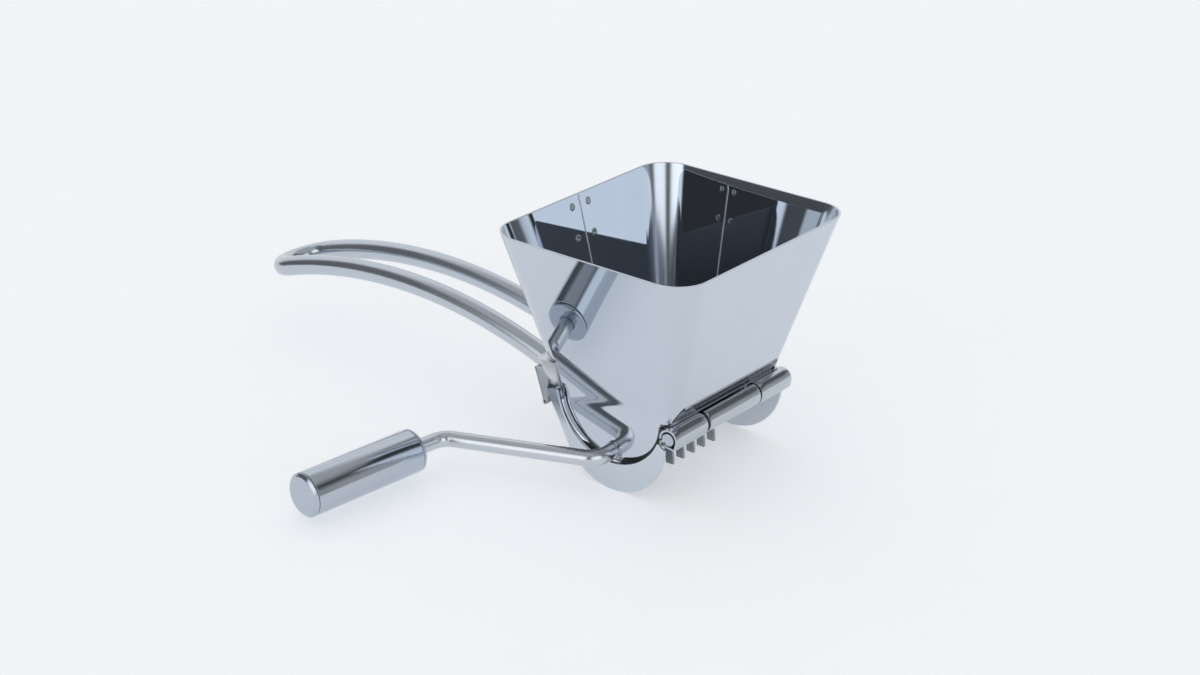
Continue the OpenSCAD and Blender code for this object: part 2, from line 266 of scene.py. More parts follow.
def strip_x(m, path, t, x0, x1, nx=2, edge=0.12):
    """Bent sheet: path is the middle line in (y, z), swept along X, thickness t."""
    p = [np.array(q, float) for q in path]
    n = len(p)
    nr = []
    for i in range(n):
        a = p[max(i - 1, 0)]
        b = p[min(i + 1, n - 1)]
        d = unit(b - a)
        nr.append(np.array([-d[1], d[0]]))
    loop = []
    for i in range(n):
        loop.append(p[i] + nr[i] * t / 2)
    e1 = unit(p[-1] - p[-2])
    k = t * 0.25
    loop[-1] = loop[-1] - e1 * k
    loop += [p[-1] + nr[-1] * (t / 2 - k * 0.3) - e1 * k * 0.3, p[-1] + nr[-1] * (t / 2 - k), p[-1] - nr[-1] * (t / 2 - k), p[-1] - nr[-1] * (t / 2 - k * 0.3) - e1 * k * 0.3]
    back = [p[i] - nr[i] * t / 2 for i in range(n - 1, -1, -1)]
    back[0] = back[0] - e1 * k
    e0 = unit(p[0] - p[1])
    back[-1] = back[-1] - e0 * k
    loop[0] = loop[0] - e0 * k
    loop += back
    loop += [p[0] - nr[0] * (t / 2 - k * 0.3) - e0 * k * 0.3, p[0] - nr[0] * (t / 2 - k), p[0] + nr[0] * (t / 2 - k), p[0] + nr[0] * (t / 2 - k * 0.3) - e0 * k * 0.3]
    L = len(loop)
    # inset rings for soft ends
    xs = [(x0, edge), (x0 + edge * 0.3, edge * 0.3), (x0 + edge, 0)] + [(x, 0) for x in np.linspace(x0 + edge, x1 - edge, nx + 1)[1:-1]] + [(x1 - edge, 0), (x1 - edge * 0.3, edge * 0.3), (x1, edge)]
    nl = []
    for i in range(L):
        d = unit(loop[(i + 1) % L] - loop[i - 1])
        nl.append(np.array([-d[1], d[0]]))
    # outward side: away from the middle line
    area = sum(loop[i][0] * loop[(i + 1) % L][1] - loop[(i + 1) % L][0] * loop[i][1] for i in range(L))
    sgn = -1.0 if area > 0 else 1.0
    g = [[(x, *(loop[i] - sgn * nl[i] * ins)) for i in range(L)] for x, ins in xs]
    m.grid(g, close_v=True, flip=area < 0)
    for gi, fl in ((g[0], area > 0), (g[-1], area < 0)):
        # ends: quads between the two sides of the sheet
        b = len(m.v)
        m.v += [tuple(q) for q in gi]
        # pair points i of the front side with the mirrored index of the back side
        pairs = []
        for i in range(n):
            pairs.append((i, n + 4 + (n - 1 - i)))
        for i in range(n - 1):
            a, c = pairs[i], pairs[i + 1]
            q = (b + a[0], b + c[0], b + c[1], b + a[1])
            m.f.append(q if fl else q[::-1])
        q = [b + n - 1, b + n, b + n + 1, b + n + 2, b + n + 3, b + n + 4]
        m.f.append(tuple(q if fl else q[::-1]))
        q = [b + 2 * n + 3, b + 2 * n + 4, b + 2 * n + 5, b + 2 * n + 6, b + 2 * n + 7, b]
        m.f.append(tuple(q if fl else q[::-1]))


# ---------------------------------------------------------------- materials
def nodes_of(name):
    mat = bpy.data.materials.new(name)
    mat.use_nodes = True
    nt = mat.node_tree
    nt.nodes.clear()
    out = nt.nodes.new("ShaderNodeOutputMaterial")
    b = nt.nodes.new("ShaderNodeBsdfPrincipled")
    nt.links.new(b.outputs[0], out.inputs[0])
    return mat, nt, b


def noise(nt, vec, scale, detail=3.0, rough=0.5):
    n = nt.nodes.new("ShaderNodeTexNoise")
    n.inputs["Scale"].default_value = scale
    n.inputs["Detail"].default_value = detail
    n.inputs["Roughness"].default_value = rough
    nt.links.new(vec, n.inputs["Vector"])
    return n


def mapping(nt, scale, rot=(0, 0, 0)):
    tc = nt.nodes.new("ShaderNodeTexCoord")
    mp = nt.nodes.new("ShaderNodeMapping")
    mp.inputs["Scale"].default_value = scale
    mp.inputs["Rotation"].default_value = rot
    nt.links.new(tc.outputs["Object"], mp.inputs["Vector"])
    return mp.outputs["Vector"]


def ramp(nt, fac, stops):
    r = nt.nodes.new("ShaderNodeValToRGB")
    els = r.color_ramp.elements
    while len(els) < len(stops):
        els.new(0.5)
    for e, (p, c) in zip(els, stops):
        e.position = p
        e.color = c if len(c) == 4 else (*c, 1)
    nt.links.new(fac, r.inputs["Fac"])
    return r.outputs["Color"]


def maprange(nt, fac, lo, hi, a, b):
    r = nt.nodes.new("ShaderNodeMapRange")
    r.inputs["From Min"].default_value = lo
    r.inputs["From Max"].default_value = hi
    r.inputs["To Min"].default_value = a
    r.inputs["To Max"].default_value = b
    nt.links.new(fac, r.inputs["Value"])
    return r.outputs["Result"]


def bend_mask(nt):
    """0 on the four flats, 1 in the rounded corners, from the horizontal part of the normal."""
    g = nt.nodes.new("ShaderNodeNewGeometry")
    sep = nt.nodes.new("ShaderNodeSeparateXYZ")
    nt.links.new(g.outputs["Normal"], sep.inputs[0])

    def mth(op, a, b=None):
        n = nt.nodes.new("ShaderNodeMath")
        n.operation = op
        for i, v in enumerate((a, b)):
            if v is None:
                continue
            if isinstance(v, float):
                n.inputs[i].default_value = v
            else:
                nt.links.new(v, n.inputs[i])
        return n.outputs[0]
    ax, ay = mth("ABSOLUTE", sep.outputs["X"]), mth("ABSOLUTE", sep.outputs["Y"])
    return mth("MINIMUM", ax, ay)


def steel(name, base, rough_lo, rough_hi, grain_scale, bump=0.02, bump_scale=None, smudge=(6, 0.02), aniso=0.0, rot=(0, 0, 0), wave=0.0):
    """Stainless steel: grain along one direction drives roughness and a fine bump, a broad smudge varies both."""
    mat, nt, b = nodes_of(name)
    b.inputs["Metallic"].default_value = 1.0
    vec = mapping(nt, grain_scale, rot)
    fine = noise(nt, vec, 60.0, 4.0, 0.6)
    tc = nt.nodes.new("ShaderNodeTexCoord")
    broad = noise(nt, tc.outputs["Object"], smudge[0] * 8.0, 2.0, 0.5)
    mixn = nt.nodes.new("ShaderNodeMath")
    mixn.operation = "MULTIPLY_ADD"
    nt.links.new(broad.outputs["Fac"], mixn.inputs[0])
    mixn.inputs[1].default_value = 0.6
    nt.links.new(fine.outputs["Fac"], mixn.inputs[2])
    rough = maprange(nt, mixn.outputs[0], 0.45, 1.15, rough_lo, rough_hi)
    nt.links.new(rough, b.inputs["Roughness"])
    lo = tuple(c * (1 - smudge[1]) for c in base)
    hi = tuple(min(1, c * (1 + smudge[1])) for c in base)
    nt.links.new(ramp(nt, mixn.outputs[0], [(0.35, lo), (1.0, hi)]), b.inputs["Base Color"])
    if bump:
        bp = nt.nodes.new("ShaderNodeBump")
        bp.inputs["Strength"].default_value = bump
        bp.inputs["Distance"].default_value = 0.0001
        nt.links.new(fine.outputs["Fac"], bp.inputs["Height"])
        last = bp
        if wave:
            wn = noise(nt, tc.outputs["Object"], 22.0, 1.0, 0.4)
            b2 = nt.nodes.new("ShaderNodeBump")
            b2.inputs["Strength"].default_value = 1.0
            b2.inputs["Distance"].default_value = wave
            nt.links.new(wn.outputs["Fac"], b2.inputs["Height"])
            nt.links.new(bp.outputs["Normal"], b2.inputs["Normal"])
            last = b2
        nt.links.new(last.outputs["Normal"], b.inputs["Normal"])
    return mat


M_SHEET = steel("polished_sheet_steel", (0.585, 0.63, 0.695), 0.012, 0.03, (1.0, 1.0, 1.0), bump=0.008, smudge=(5, 0.015), wave=0.000004)
nt = M_SHEET.node_tree
bsdf = [n for n in nt.nodes if n.type == "BSDF_PRINCIPLED"][0]
flat_rough = bsdf.inputs["Roughness"].links[0].from_socket
add = nt.nodes.new("ShaderNodeMath")
add.operation = "ADD"
nt.links.new(flat_rough, add.inputs[0])
nt.links.new(maprange(nt, bend_mask(nt), 0.05, 0.40, 0.0, 0.19), add.inputs[1])
nt.links.new(add.outputs[0], bsdf.inputs["Roughness"])
M_CHEEK = steel("cradle_sheet_steel", (0.60, 0.645, 0.70), 0.12, 0.20, (1.0, 1.0, 6.0), bump=0.03)
M_KNUCKLE = steel("knuckle_sheet_steel", (0.52, 0.56, 0.615), 0.16, 0.24, (1.0, 3.0, 3.0), bump=0.03)
M_ROD = steel("drawn_rod_steel", (0.54, 0.585, 0.645), 0.20, 0.30, (1.0, 0.25, 1.0), bump=0.03)
M_CRANK = steel("crank_rod_steel", (0.585, 0.615, 0.655), 0.20, 0.28, (1.0, 1.0, 1.0), bump=0.025)
M_GRIP = steel("grip_tube_steel", (0.49, 0.535, 0.60), 0.09, 0.20, (0.12, 3.5, 3.5), bump=0.16)
M_CAP = steel("grip_cap_steel", (0.485, 0.53, 0.595), 0.12, 0.20, (2.0, 2.0, 2.0), bump=0.04)
M_SATIN = steel("satin_sheet_steel", (0.54, 0.575, 0.625), 0.20, 0.30, (1.0, 3.0, 1.0), bump=0.05)
M_PLATE = steel("latch_plate_steel", (0.50, 0.53, 0.575), 0.28, 0.38, (1.0, 1.0, 1.0), bump=0.04)
M_BRACKET = steel("strap_steel", (0.66, 0.675, 0.70), 0.26, 0.36, (1.0, 1.0, 1.0), bump=0.04)
M_BLADE = steel("blade_steel", (0.34, 0.36, 0.385), 0.38, 0.55, (1.0, 2.0, 2.0), bump=0.10)
# near-black base colour: painted shade for the shadowed gaps at the cheek lips and the throat edges
M_PAINTED_SHADE = steel("painted_shade_steel", (0.045, 0.045, 0.048), 0.30, 0.45, (1.0, 1.0, 1.0), bump=0.03)
M_CORE = steel("rotor_steel", (0.50, 0.52, 0.55), 0.25, 0.38, (0.5, 2.0, 2.0), bump=0.05)
M_SPOT = steel("spot_weld_steel", (0.42, 0.44, 0.47), 0.16, 0.26, (3.0, 3.0, 3.0), bump=0.2)
M_WELD = steel("weld_steel", (0.70, 0.70, 0.70), 0.24, 0.40, (3.0, 3.0, 3.0), bump=0.5)

# ---------------------------------------------------------------- dimensions (shaft frame, mm)
SHEET = 0.9
RIM = 78.1
THROAT = 18.0


def side_half(z):
    """Half width between the outer faces at the corners: straight flare above, upright tongue below, a soft fold between."""
    s, half = 17.0 / 60.1, 3.0
    lo, hi = THROAT - half, THROAT + half
    if z >= hi:
        return 33.0 + s * (z - THROAT)
    if z <= lo:
        return 33.0
    return 33.0 + s * (z - lo) ** 2 / (4 * half)


# lean of the side panels' reflecting face, degrees: upright below the fold, then ever more flare
FOLD_D = [-2.2, -1.5, -0.6, 0.0, 0.6, 1.5, 2.2]
FOLD_A = [2.5, 3.0, 4.9, 6.4, 7.9, 9.6, 10.0]
LEAN_Z = [19.0, 24.4, 26.9, 47.0, 62.0, 76.0]
LEAN_A = [10.0, 10.9, 11.5, 13.3, 15.0, 15.8]


def lean(y, z):
    f = 17.6 - 0.12 * max(min(y, 26.0), -12.0)
    up = float(np.interp(z, LEAN_Z, LEAN_A)) - 10.0
    return float(np.interp(z - f, FOLD_D, FOLD_A)) + up


def section(z):
    k = max(z - THROAT, 0.0) / (RIM - THROAT)
    return dict(w=2 * side_half(z), d=55.4 + 33.1 * k, cy=1.6 - 1.1 * k, r=6.5 + 6.1 * k)


TY, TZ, TA, TB = 1.6, 17.0, 22.3, 18.9
PIN = (-25.7, 12.56)
TAB_TOP = 22.9
WING = 26.6


def tongue_z(y):
    """Lower edge of the side tongues: a rounded outline symmetric about the middle of the throat."""
    u = min(abs(y - TY) / TA, 1.0)
    return TZ - TB * (1 - u ** 2.2) ** (1 / 2.2)


def perimeter():
    """Labels round the hopper: (panel or corner, place along it)."""
    L = []
    sec = section(THROAT)
    y0 = sec["cy"] - (sec["d"] / 2 - sec["r"])
    ln = sec["d"] - 2 * sec["r"]
    fr = set(np.linspace(0, 1, 41))
    for th in np.linspace(-89, 89, 110):
        y = TY + TA * math.sin(math.radians(th))
        if y0 < y < y0 + ln:
            fr.add((y - y0) / ln)
    for y in list(3.5 * np.sin(np.radians(np.linspace(-90, 90, 25)))) + [-3.501, 3.501]:
        fr.add((y - y0) / ln)
    fr = sorted(fr)
    side = [fr[0]]
    for f in fr[1:]:
        if f - side[-1] > 2e-5:
            side.append(f)
    arc = list(np.linspace(0, 90, 31))[1:-1]
    # the front panel carries its own break at the ends of the hinge tab
    wq = side_half(TAB_TOP) - section(TAB_TOP)["r"]
    fb = (1 - WING / wq) / 2
    flat = sorted(set(np.linspace(0, 1, 41)) | {fb - 0.0006, fb, 1 - fb, 1 - fb + 0.0006})
    for f in side:
        L.append(("A", f))
    for t in arc:
        L.append(("AC", t))
    for f in np.linspace(0, 1, 41):
        L.append(("C", f))
    for t in arc:
        L.append(("CD", t))
    for f in side[::-1]:
        L.append(("D", f))
    for t in arc:
        L.append(("DB", t))
    for f in flat:
        L.append(("B", f))
    for t in arc:
        L.append(("BA", t))
    return L


def at(label, z):
    """Outer surface point and outward 2D normal of one label at one height."""
    k, t = label
    s = section(z)
    w, d, cy, r = s["w"] / 2, s["d"] / 2, s["cy"], s["r"]
    if k in ("A", "D"):
        return np.array([-w if k == "A" else w, cy - (d - r) + t * 2 * (d - r)]), np.array([-1.0 if k == "A" else 1.0, 0])
    if k == "C":
        return np.array([-(w - r) + t * 2 * (w - r), cy + d]), np.array([0, 1.0])
    if k == "B":
        return np.array([(w - r) - t * 2 * (w - r), cy - d]), np.array([0, -1.0])
    a = math.radians(t)
    if k == "AC":
        n = np.array([-math.cos(a), math.sin(a)]); c = np.array([-(w - r), cy + d - r])
    elif k == "CD":
        n = np.array([math.sin(a), math.cos(a)]); c = np.array([w - r, cy + d - r])
    elif k == "DB":
        n = np.array([math.cos(a), -math.sin(a)]); c = np.array([w - r, cy - d + r])
    else:
        n = np.array([-math.sin(a), -math.cos(a)]); c = np.array([-(w - r), cy - d + r])
    return c + n * r, n


def smooth(t):
    t = min(max(t, 0.0), 1.0)
    return t * t * (3 - 2 * t)


# flat gusset under each front corner: its plane through the corner's foot, the end of the tab and the tab's edge
GP = [np.array([-31.1, -24.2, 17.3]), np.array([-26.9, -27.3, 22.8]), np.array([-22.8, -24.75, 19.0])]
GN = unit(np.cross(GP[1] - GP[0], GP[2] - GP[0]))


def crease_z(label):
    """Height at which a line down the corner meets the gusset's plane."""
    lo, hi = 15.0, 25.0

    def f(z):
        q = at(label, z)[0]
        return float(np.dot(np.array([-abs(q[0]), q[1], z]) - GP[0], GN))
    flo = f(lo)
    for _ in range(40):
        mid = (lo + hi) / 2
        if f(mid) * flo > 0:
            lo = mid
        else:
            hi = mid
    return (lo + hi) / 2


def bottom_of(label):
    """Height of the lower edge or of the crease."""
    k, t = label
    if k in ("A", "D"):
        y = at(label, THROAT)[0][1]
        if abs(y) < 3.5:
            return math.sqrt(max(12.25 - y * y, 0.0))
        return tongue_z(y)
    if k in ("AC", "CD"):
        u = t / 90.0 if k == "AC" else 1 - t / 90.0
        z = 16.6 + (18.3 - 16.6) * smooth(u * 2.2)
        y = at(label, THROAT)[0][1]
        return min(z, tongue_z(y)) if abs(y - TY) < TA else z
    if k == "C":
        return 18.3
    if k in ("BA", "DB"):
        phi = 90 - t if k == "BA" else t      # from the side panel's normal
        if phi < 9.1:
            return min(tongue_z(at(label, THROAT)[0][1]), 16.8)
        if phi <= 45:
            return 16.8 + 0.5 * smooth((phi - 30) / 15)
        return crease_z(label)
    if abs(at(label, TAB_TOP)[0][0]) > WING + 0.001:
        return min(crease_z(label), TAB_TOP)
    return TAB_TOP


def column(label, n_top=12, n_low=30):
    """Outer points from the rim down to the lower edge."""
    zc = bottom_of(label)
    zs = list(np.linspace(RIM, 26, n_top)) + list(np.linspace(26, max(zc, 9.0), n_low - 7)[1:])
    zs += list(np.linspace(zs[-1], zc, 9)[1:]) if zc < 9.0 else [zs[-1] - 0.0004 * (i + 1) for i in range(8)]
    return [np.array([*at(label, z)[0], z]) for z in zs]


def hopper():
    labels = perimeter()
    G = np.array([column(l) for l in labels])
    n, rws = G.shape[:2]
    N = np.zeros_like(G)
    for i in range(n):
        for j in range(rws):
            z = G[i, j][2]
            eps = 0.05
            n2 = at(labels[i], z)[1]
            slope = float(np.dot(at(labels[i], z + eps)[0] - at(labels[i], z - eps)[0], n2)) / (2 * eps)
            N[i, j] = unit(np.array([n2[0], n2[1], -slope]))
    inner = G - N * SHEET
    inner[:, 0, 2] = RIM
    m = Mesh()
    e = 0.17

    def along(P, a, b):
        d = P[:, b] - P[:, a]
        return d / np.linalg.norm(d, axis=1)[:, None]
    o0 = G[:, 0] + along(G, 0, 1) * e
    i0 = inner[:, 0] + along(inner, 0, 1) * e
    ac = inner[:, 0] - G[:, 0]
    ac = ac / np.linalg.norm(ac, axis=1)[:, None]
    rows, nor = [], []
    up = np.zeros_like(G[:, 0]); up[:, 2] = 1.0
    for j in range(rws - 1, 0, -1):
        rows.append(inner[:, j]); nor.append(-N[:, j])
    ni, no = -N[:, 0], N[:, 0]
    for t in (0.0, 0.33, 0.67, 1.0):
        a = t * math.pi / 2
        rows.append(i0 * (1 - math.sin(a)) + (inner[:, 0]) * math.sin(a) - ac * e * (1 - math.cos(a)))
        nor.append(ni * math.cos(a) + up * math.sin(a))
    for t in (0.0, 0.33, 0.67, 1.0):
        a = (1 - t) * math.pi / 2
        rows.append(o0 * (1 - math.sin(a)) + (G[:, 0]) * math.sin(a) + ac * e * (1 - math.cos(a)))
        nor.append(no * math.cos(a) + up * math.sin(a))
    for j in range(1, rws):
        rows.append(G[:, j]); nor.append(N[:, j])
    g = [[tuple(p) for p in r] for r in rows]
    m.grid(g, close_v=True, flip=True)
    nn = [tuple(v / np.linalg.norm(v)) for r in nor for v in r]
    # the lower edge: its own vertices, so it stays crisp
    b = len(m.v)
    m.v += [tuple(p) for p in G[:, -1]] + [tuple(p) for p in inner[:, -1]]
    dn = G[:, -1] - G[:, -2]
    dn = dn / np.linalg.norm(dn, axis=1)[:, None]
    nn += [tuple(v) for v in dn] + [tuple(v) for v in dn]
    for i in range(n):
        k = (i + 1) % n
        m.f.append((b + i, b + n + i, b + n + k, b + k))
    return m, nn


# ---------------------------------------------------------------- build the pieces
m, HN = hopper()
G_EDGE = []
for l in perimeter():
    if (l[0] == "BA" and 90 - l[1] >= 44.9) or (l[0] == "DB" and l[1] >= 44.9) or (l[0] == "B" and abs(at(l, TAB_TOP)[0][0]) > WING + 0.001):
        z = bottom_of(l)
        G_EDGE.append(np.array([*at(l, z)[0], z]))
# shading follows the slightly hollow side panels
for i, (p, nv) in enumerate(zip(m.v, HN)):
    f = smooth((abs(nv[0]) - 0.90) / 0.05)
    if p[1] < 0 and p[2] < 26:
        f = max(f, smooth((abs(nv[0]) - 0.45) / 0.2) * (1 - smooth((p[2] - 20.0) / 5.0)))
    if f > 0 and abs(p[0]) > 27.0 and p[2] < RIM - 0.2:
        t = lean(p[1], p[2])
        out = 1.0 if nv[0] * p[0] > 0 else -1.0
        if out < 0 and p[0] > 0:
            t = min(t, 12.9)
        t = math.radians(t)
        h = math.hypot(nv[0], nv[1])
        q = np.array([nv[0] / h * math.cos(t), nv[1] / h * math.cos(t), -out * math.sin(t)])
        q = np.array(nv) * (1 - f) + q * f
        HN[i] = tuple(q / np.linalg.norm(q))
ob_hopper = make("hopper_sheet", m.v, m.f, M_SHEET, "hopper", angle=None, normals=HN, replaces=("hopper_shell",))

# ---- rods
def crank_point(a, b, n=0.0):
    dip = math.radians(2.5)
    return np.array([-a, b * math.cos(dip) - n * math.sin(dip), -b * math.sin(dip) - n * math.cos(dip)])


def crank_path():
    lean, gl, R = 17.6, 6.0, 7.0
    t1 = math.radians(90 - lean); t2 = math.radians(90 - lean - gl)
    reach, bx = 57.7, 42.45
    tan1, tan2 = R * math.tan(t1 / 2), R * math.tan(t2 / 2)
    arm = reach / math.sin(t1) - tan1 - tan2
    c1 = np.array([bx - tan1, R])
    e1 = c1 + R * np.array([math.sin(t1), -math.cos(t1)])
    e2 = e1 + arm * np.array([math.cos(t1), math.sin(t1)])
    c2 = e2 + R * np.array([math.sin(t1), -math.cos(t1)])
    g = math.radians(gl)
    e3 = c2 + R * np.array([-math.sin(g), math.cos(g)])
    pts = [np.array([-37.6, 0.0]), np.array([c1[0], 0.0])]
    for i in range(1, 21):
        a = -math.pi / 2 + t1 * i / 20
        pts.append(c1 + R * np.array([math.cos(a), math.sin(a)]))
    pts.append(e2)
    for i in range(1, 21):
        a = math.pi / 2 + t1 - t2 * i / 20
        pts.append(c2 + R * np.array([math.cos(a), math.sin(a)]))
    gd = np.array([math.cos(g), math.sin(g)])
    ga = e3 + gd * 9.4
    pts.append(e3 + gd * (9.4 + 50.6 - 4.8))
    return [crank_point(*p) for p in pts], crank_point(*ga), unit(crank_point(*gd))


CP, G0, GD = crank_path()
m = Mesh()
sweep(m, CP, 2.99, 56, cap0="flat", cap1="flat", chamfer=0.6)
make("crank_rod_bent", m.v, m.f, M_CRANK, "crank", replaces=("crank_rod",))

# ---- handle
AY, AZ, AR = 121.1, -188.3, 214.5
back_a = math.asin((AY - 52.0) / AR)
tip_a = math.asin((188.0 - AY) / AR)


def handle_path(x):
    fz = AZ + AR * math.cos(back_a)
    zc = fz - 40 * (1 - math.cos(back_a))
    ys = 52 - 40 * math.sin(back_a)
    pts = [np.array([x, 31.95, zc]), np.array([x, ys, zc])]
    for i in range(1, 13):
        a = back_a * i / 12
        pts.append(np.array([x, ys + 40 * math.sin(a), zc + 40 * (1 - math.cos(a))]))
    for i in range(1, 97):
        a = back_a - (back_a + tip_a) * i / 96
        pts.append(np.array([x, AY - AR * math.sin(a), AZ + AR * math.cos(a)]))
    return pts


tz = AZ + AR * math.cos(tip_a)
p = handle_path(11.1)
e2v = np.array([0, math.cos(tip_a), -math.sin(tip_a)])
hp = arc3((0, 187.9, tz), (1, 0, 0), e2v, 11.1, 0, math.pi, 49)
p = p[:-1] + hp + handle_path(-11.1)[::-1][1:]
m = Mesh()
sweep(m, p, 3.99, 56, cap0="flat", cap1="flat", chamfer=0.3)
make("handle_rod", m.v, m.f, M_ROD, "hopper", replaces=("handle_loop",))

# ---- grip
RG = 8.25
m = Mesh()
lathe(m, bevel_profile([(1.62, 7.3), (1.62, RG - 0.02), (50.6 - 1.62, RG - 0.02), (50.6 - 1.62, 7.3)], 0.22), G0, GD, 112)
make("grip_sleeve", m.v, m.f, M_GRIP, "grip", replaces=("grip_tube",))
m = Mesh()
lathe(m, bevel_profile([(1.5, 0.2 + 3.0), (1.9, 7.25), (1.4, 7.25), (1.4, RG - 0.1), (0.42, RG - 0.1), (0.0, 6.6), (0.0, 4.2), (0.3, 3.06), (1.5, 3.06), (1.5, 3.2)], 0.35, 5), G0, GD, 112)
make("grip_rod_end_cap", m.v, m.f, M_CAP, "grip", replaces=("grip_inner_cap",))
m = Mesh()
prof = bevel_profile([(50.6 - 1.9, 7.2), (50.6 - 1.35, 7.25), (50.6 - 1.35, RG - 0.02), (50.6 - 0.98, RG - 0.02), (50.6, RG - 1.15), (50.6, 0.02)], 0.5, 9)
lathe(m, prof, G0, GD, 112)
make("grip_end_cap", m.v, m.f, M_CAP, "grip", replaces=("grip_outer_cap",))


# ---- front hinge
def roll_path(r0, r1, a0, a1, n=60, c=PIN):
    """Spiral round the pin in the (y, z) plane, angles from +Y towards +Z, degrees."""
    pts = []
    for i in range(n + 1):
        t = i / n
        a = math.radians(a0 + (a1 - a0) * t)
        r = r0 + (r1 - r0) * t
        pts.append((c[0] + r * math.cos(a), c[1] + r * math.sin(a)))
    return pts


def ribbon(m, path, t, half, nx=24, e=0.14, x_mid=0.0):
    """Bent sheet of varying width: path is its middle line in (y, z), half(s) its half width at length s."""
    p = [np.array(q, float) for q in path]
    n = len(p)
    s = [0.0]
    for i in range(1, n):
        s.append(s[-1] + float(np.linalg.norm(p[i] - p[i - 1])))
    g = []
    for i in range(n):
        d = unit(p[min(i + 1, n - 1)] - p[max(i - 1, 0)])
        nr = np.array([-d[1], d[0]])
        h = half(s[i])
        row = []

        def put(x, off):
            q = p[i] + nr * off
            row.append((x_mid + x, q[0], q[1]))
        for x in np.linspace(-h + e, h - e, nx):
            put(x, t / 2)
        put(h - e * 0.3, t / 2 - e * 0.3); put(h, t / 2 - e); put(h, -t / 2 + e); put(h - e * 0.3, -t / 2 + e * 0.3)
        for x in np.linspace(h - e, -h + e, nx):
            put(x, -t / 2)
        put(-h + e * 0.3, -t / 2 + e * 0.3); put(-h, -t / 2 + e); put(-h, t / 2 - e); put(-h + e * 0.3, t / 2 - e * 0.3)
        g.append(row)
    m.grid(g, close_v=True, flip=True)
    L = len(g[0])
    for row, fl in ((g[0], False), (g[-1], True)):
        b = len(m.v)
        m.v += [tuple(q) for q in row]
        for k in range(nx - 1):
            q = (b + k, b + k + 1, b + nx + 4 + (nx - 2 - k), b + nx + 4 + (nx - 1 - k))
            m.f.append(q[::-1] if fl else q)
        q = (b + nx - 1, b + nx, b + nx + 1, b + nx + 2, b + nx + 3, b + nx + 4)
        m.f.append(q[::-1] if fl else q)
        q = (b + 2 * nx + 3, b + 2 * nx + 4, b + 2 * nx + 5, b + 2 * nx + 6, b + 2 * nx + 7, b)
        m.f.append(q[::-1] if fl else q)


# tab: the front panel runs on into it, it folds in under the lip, narrows and rolls round the rod
tab = [(-27.07, 22.87), (-26.93, 22.45), (-26.75, 22.0), (-26.5, 21.5), (-26.2, 21.0), (-25.85, 20.5), (-25.45, 20.0), (-25.0, 19.5),
       (-24.55, 19.0), (-24.1, 18.45), (-23.65, 17.85), (-23.2, 17.2), (-22.75, 16.45), (-22.35, 15.55), (-22.08, 14.6)]
roll = roll_path(3.75, 3.75, 10, -262, 84)
m = Mesh()
ribbon(m, tab + roll, 0.86, lambda q: 15.0 + 11.9 * (1 - min(q / 8.6, 1.0) ** 1.7), nx=28)
for sx in (1, -1):
    top = [p for p in G_EDGE if (p[0] < 0) == (sx > 0)]
    top = sorted(top, key=lambda p: abs(p[0]), reverse=True)
    outer = [np.array([sx * (-abs(p[0])), p[1], p[2]]) for p in top]
    tip = np.array([sx * GP[2][0], GP[2][1], GP[2][2]])
    gn = np.array([sx * GN[0], GN[1], GN[2]])
    if gn[1] > 0:
        gn = -gn
    outer = outer + [tip]
    back = [p - gn * 0.8 for p in outer]
    for poly, fl in ((outer, sx < 0), (back, sx > 0)):
        b = len(m.v)
        m.v += [tuple(p) for p in poly]
        k = len(poly)
        m.f += [((b + k - 1, b + i + 1, b + i) if fl else (b + k - 1, b + i, b + i + 1)) for i in range(k - 2)]
    b = len(m.v)
    k = len(outer)
    m.v += [tuple(p) for p in outer] + [tuple(p) for p in back]
    for i in range(k):
        j = (i + 1) % k
        q = (b + i, b + k + i, b + k + j, b + j)
        m.f.append(q if sx > 0 else q[::-1])
make("hinge_tab_sheet", m.v, m.f, M_KNUCKLE, "hopper", angle=35, replaces=("hinge_tab",))
# turned-down inner edge of the throat behind the knuckles, always in the shade; its near-black colour is painted shade
for sx, nm in ((-1, "crank_side"), (1, "far_side")):
    m = Mesh()
    strip_x(m, [(-23.45, 18.25), (-23.4, 17.2), (-23.3, 16.0)], 0.3, -30.7 if sx < 0 else 15.7, -15.7 if sx < 0 else 30.7, nx=3, edge=0.08)
    make(nm + "_throat_edge", m.v, m.f, M_PAINTED_SHADE, "hopper", angle=35)
m = Mesh()
sweep(m, [(-34.55, *PIN), (34.55, *PIN)], 2.49, 48, cap0="flat", cap1="flat", chamfer=0.35)
make("hinge_pin_rod", m.v, m.f, M_CAP, "hopper", replaces=("hinge_rod",))
# cradle knuckles: the sheet runs under the rod, turns up in front of it and rolls back over the top
def bend_path(pts, r, n=6):
    out = [np.array(pts[0], float)]
    for i in range(1, len(pts) - 1):
        a, b, c = (np.array(pts[k], float) for k in (i - 1, i, i + 1))
        p, q = b + unit(a - b) * r, b + unit(c - b) * r
        for j in range(n + 1):
            t = j / n
            out.append((1 - t) ** 2 * p + 2 * t * (1 - t) * b + t * t * q)
    return out + [np.array(pts[-1], float)]


for s, nm in ((-1, "crank_side_knuckle"), (1, "far_side_knuckle")):
    a0 = math.radians(196)
    p0 = np.array([PIN[0] + 3.52 * math.cos(a0), PIN[1] + 3.52 * math.sin(a0)])
    td = np.array([math.sin(a0), -math.cos(a0)])
    low = p0 - td * 2.35
    pts = bend_path([(-22.3, 9.95), tuple(low), tuple(p0)], 0.55)
    pts = pts[:-1] + [np.array([PIN[0] + 3.52 * math.cos(math.radians(a)), PIN[1] + 3.52 * math.sin(math.radians(a))]) for a in np.linspace(196, -8, 72)]
    m = Mesh()
    strip_x(m, pts[::-1], 0.85, s * 34.5 if s < 0 else 16.2, -16.2 if s < 0 else 34.5, nx=6, edge=0.15)
    make(nm + "_roll", m.v, m.f, M_KNUCKLE, "cradle", angle=35, replaces=(nm,))


